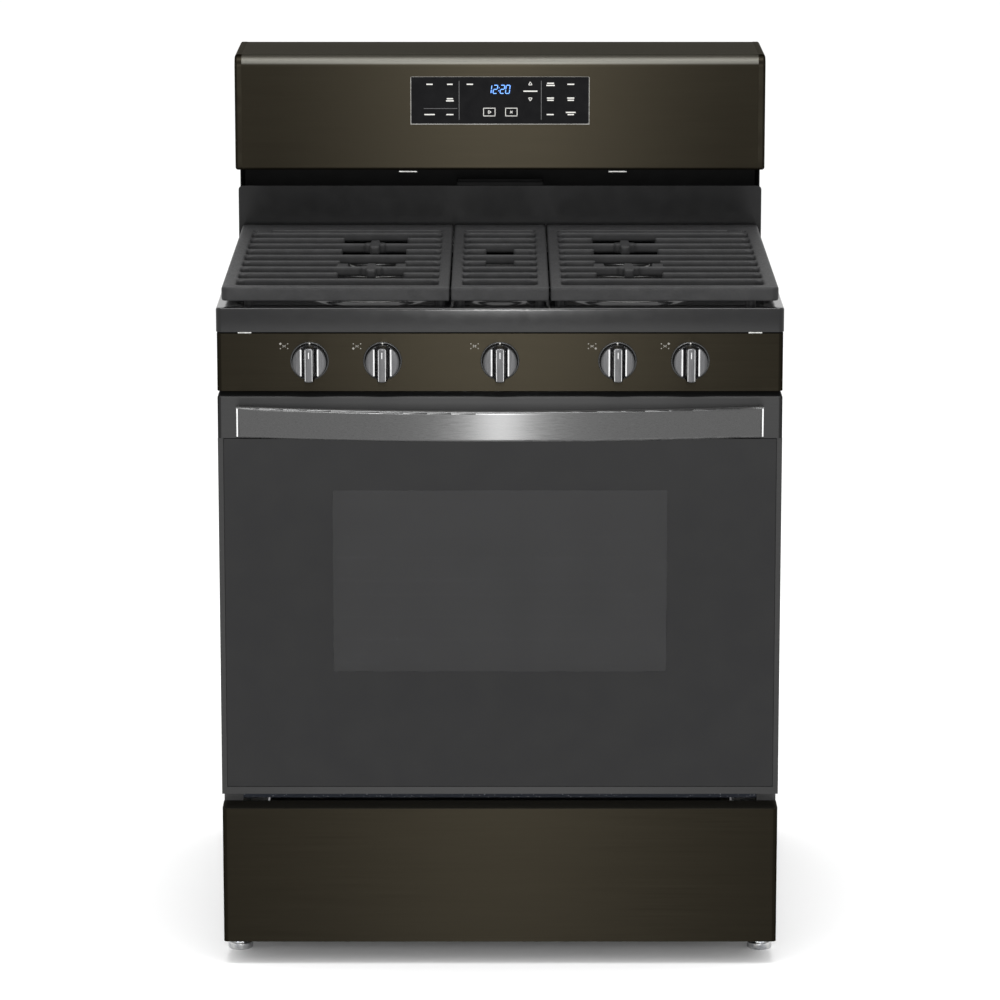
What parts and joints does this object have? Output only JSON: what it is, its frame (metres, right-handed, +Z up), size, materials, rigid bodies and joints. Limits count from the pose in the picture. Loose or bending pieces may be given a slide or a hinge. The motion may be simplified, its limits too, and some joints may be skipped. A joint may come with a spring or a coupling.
{
  "type": "freestanding gas range",
  "caption": "Freestanding gas range with a drop-down oven door, bowed bar handle, storage drawer, cast grates over sealed burners and an overhanging backguard.",
  "frame": {"origin": "on the floor under the middle of the whole range's box, feet to backguard", "axes": "+Z up, +Y from the front towards the wall behind, +X to the right seen from the front"},
  "size_m": [0.759, 0.735, 1.191],
  "materials": {
    "black_stainless": "dark brushed stainless, fine horizontal grain, satin",
    "handle_steel": "satin stainless, fine horizontal grain",
    "knob_metal": "satin dark chrome with a black skirt",
    "black_plastic": "black moulded plastic",
    "cap_plastic": "dark grey moulded plastic, satin",
    "cooktop_enamel": "glossy black porcelain enamel",
    "riser_enamel": "high-gloss black enamel",
    "body_paint": "black baked enamel, light texture",
    "oven_enamel": "dark grey porcelain enamel with fine specks",
    "galvanised": "galvanised steel sheet with a soft spangle",
    "frame_paint": "black painted folded steel",
    "cast_grate": "matte black enamelled cast iron",
    "burner_cast": "cast aluminium, sand-blasted",
    "burner_enamel": "satin black enamelled cap",
    "ceramic": "glazed white ceramic",
    "black_glass": "black-printed tempered glass with a clearer window",
    "clear_glass": "clear heat-resistant glass",
    "display_glass": "black touch glass with pale printed marks",
    "lamp_glass": "ribbed clear lamp glass over a steel socket",
    "wool": "mineral wool",
    "rope_seal": "woven glass-fibre rope",
    "rack_chrome": "bright nickel-plated wire",
    "zinc_steel": "bright zinc-plated steel",
    "burner_tube": "aluminised steel tube",
    "gas_pipe": "black steel pipe",
    "gas_aluminium": "drawn aluminium tube and die-cast bodies",
    "valve_brass": "machined brass",
    "drawer_paint": "grey painted steel tray",
    "circuit": "green circuit board with black parts"
  },
  "bodies": {
    "range_body": {"base_frame": "frame_paint", "leveling_legs": "zinc_steel", "side_panel_right": "body_paint", "side_panel_left": "body_paint", "rear_panel": "galvanised", "oven_front_frame": "oven_enamel", "oven_cavity": "oven_enamel", "oven_floor_panel": "oven_enamel", "oven_insulation": "wool", "bake_burner": "burner_tube", "broil_burner": "burner_tube", "oven_lamp": "lamp_glass", "flue_duct": "galvanised", "door_gasket": "rope_seal", "door_hinge_arms": "zinc_steel", "drawer_rails": "zinc_steel", "gas_manifold": "gas_pipe", "pressure_regulator": "gas_aluminium", "burner_valves": "valve_brass", "burner_supply_tubes": "gas_aluminium", "burner_heads": "burner_cast", "burner_caps": "burner_enamel", "igniters": "ceramic", "cooktop": "cooktop_enamel", "control_panel": "black_stainless", "knob_bezels": "black_plastic", "riser_panel": "riser_enamel", "backguard_shell": "black_stainless", "backguard_end_caps": "cap_plastic", "backguard_rear_cover": "galvanised", "display_panel": "display_glass", "control_board": "circuit", "body_screws": "zinc_steel", "power_inlet": "black_plastic"},
    "oven_door": {"door_outer_glass": "black_glass", "door_frame": "black_stainless", "door_top_trim": "black_stainless", "door_inner_liner": "oven_enamel", "door_inner_glass": "clear_glass", "door_insulation": "wool", "door_hinge_channels": "zinc_steel", "handle_bar": "handle_steel", "handle_mounts": "handle_steel"},
    "storage_drawer": {"drawer_front": "black_stainless", "drawer_box": "drawer_paint"},
    "lower_rack": {"oven_rack_lower": "rack_chrome"},
    "upper_rack": {"oven_rack_upper": "rack_chrome"},
    "left_grate": {"grate_left": "cast_grate"},
    "middle_grate": {"grate_center": "cast_grate"},
    "right_grate": {"grate_right": "cast_grate"},
    "stem_1": {"valve_stem_1": "zinc_steel"},
    "burner_knob_1": {"knob_1": "knob_metal"},
    "stem_2": {"valve_stem_2": "zinc_steel"},
    "burner_knob_2": {"knob_2": "knob_metal"},
    "stem_3": {"valve_stem_3": "zinc_steel"},
    "burner_knob_3": {"knob_3": "knob_metal"},
    "stem_4": {"valve_stem_4": "zinc_steel"},
    "burner_knob_4": {"knob_4": "knob_metal"},
    "stem_5": {"valve_stem_5": "zinc_steel"},
    "burner_knob_5": {"knob_5": "knob_metal"}
  },
  "joints": [
    {"name": "door_hinge", "type": "hinge", "parent": "range_body", "child": "oven_door", "pos_m": [0, -0.284, 0.258], "axis": [1, 0, 0], "range_deg": [0, 90], "stiffness_Nm_per_rad": 18, "springref_deg": -28.65},
    {"name": "drawer_slide", "type": "slide", "parent": "range_body", "child": "storage_drawer", "axis": [0, -1, 0], "range_m": [0, 0.36]},
    {"name": "lower_rack_slide", "type": "slide", "parent": "range_body", "child": "lower_rack", "axis": [0, -1, 0], "range_m": [0, 0.048]},
    {"name": "upper_rack_slide", "type": "slide", "parent": "range_body", "child": "upper_rack", "axis": [0, -1, 0], "range_m": [0, 0.048]},
    {"name": "left_grate_lift", "type": "slide", "parent": "range_body", "child": "left_grate", "axis": [0, 0, 1], "range_m": [0, 0.06]},
    {"name": "middle_grate_lift", "type": "slide", "parent": "range_body", "child": "middle_grate", "axis": [0, 0, 1], "range_m": [0, 0.06]},
    {"name": "right_grate_lift", "type": "slide", "parent": "range_body", "child": "right_grate", "axis": [0, 0, 1], "range_m": [0, 0.06]},
    {"name": "knob_1_push", "type": "slide", "parent": "range_body", "child": "stem_1", "axis": [0, 1, 0], "range_m": [0, 0.003], "stiffness_N_per_m": 1500, "springref_m": -0.001},
    {"name": "knob_1_turn", "type": "hinge", "parent": "stem_1", "child": "burner_knob_1", "pos_m": [-0.2544, -0.339, 0.842], "axis": [0, -1, 0], "range_deg": [0, 270]},
    {"name": "knob_2_push", "type": "slide", "parent": "range_body", "child": "stem_2", "axis": [0, 1, 0], "range_m": [0, 0.003], "stiffness_N_per_m": 1500, "springref_m": -0.001},
    {"name": "knob_2_turn", "type": "hinge", "parent": "stem_2", "child": "burner_knob_2", "pos_m": [-0.157, -0.339, 0.842], "axis": [0, -1, 0], "range_deg": [0, 270]},
    {"name": "knob_3_push", "type": "slide", "parent": "range_body", "child": "stem_3", "axis": [0, 1, 0], "range_m": [0, 0.003], "stiffness_N_per_m": 1500, "springref_m": -0.001},
    {"name": "knob_3_turn", "type": "hinge", "parent": "stem_3", "child": "burner_knob_3", "pos_m": [0, -0.339, 0.842], "axis": [0, -1, 0], "range_deg": [0, 270]},
    {"name": "knob_4_push", "type": "slide", "parent": "range_body", "child": "stem_4", "axis": [0, 1, 0], "range_m": [0, 0.003], "stiffness_N_per_m": 1500, "springref_m": -0.001},
    {"name": "knob_4_turn", "type": "hinge", "parent": "stem_4", "child": "burner_knob_4", "pos_m": [0.157, -0.339, 0.842], "axis": [0, -1, 0], "range_deg": [0, 270]},
    {"name": "knob_5_push", "type": "slide", "parent": "range_body", "child": "stem_5", "axis": [0, 1, 0], "range_m": [0, 0.003], "stiffness_N_per_m": 1500, "springref_m": -0.001},
    {"name": "knob_5_turn", "type": "hinge", "parent": "stem_5", "child": "burner_knob_5", "pos_m": [0.2544, -0.339, 0.842], "axis": [0, -1, 0], "range_deg": [0, 270]}
  ]
}
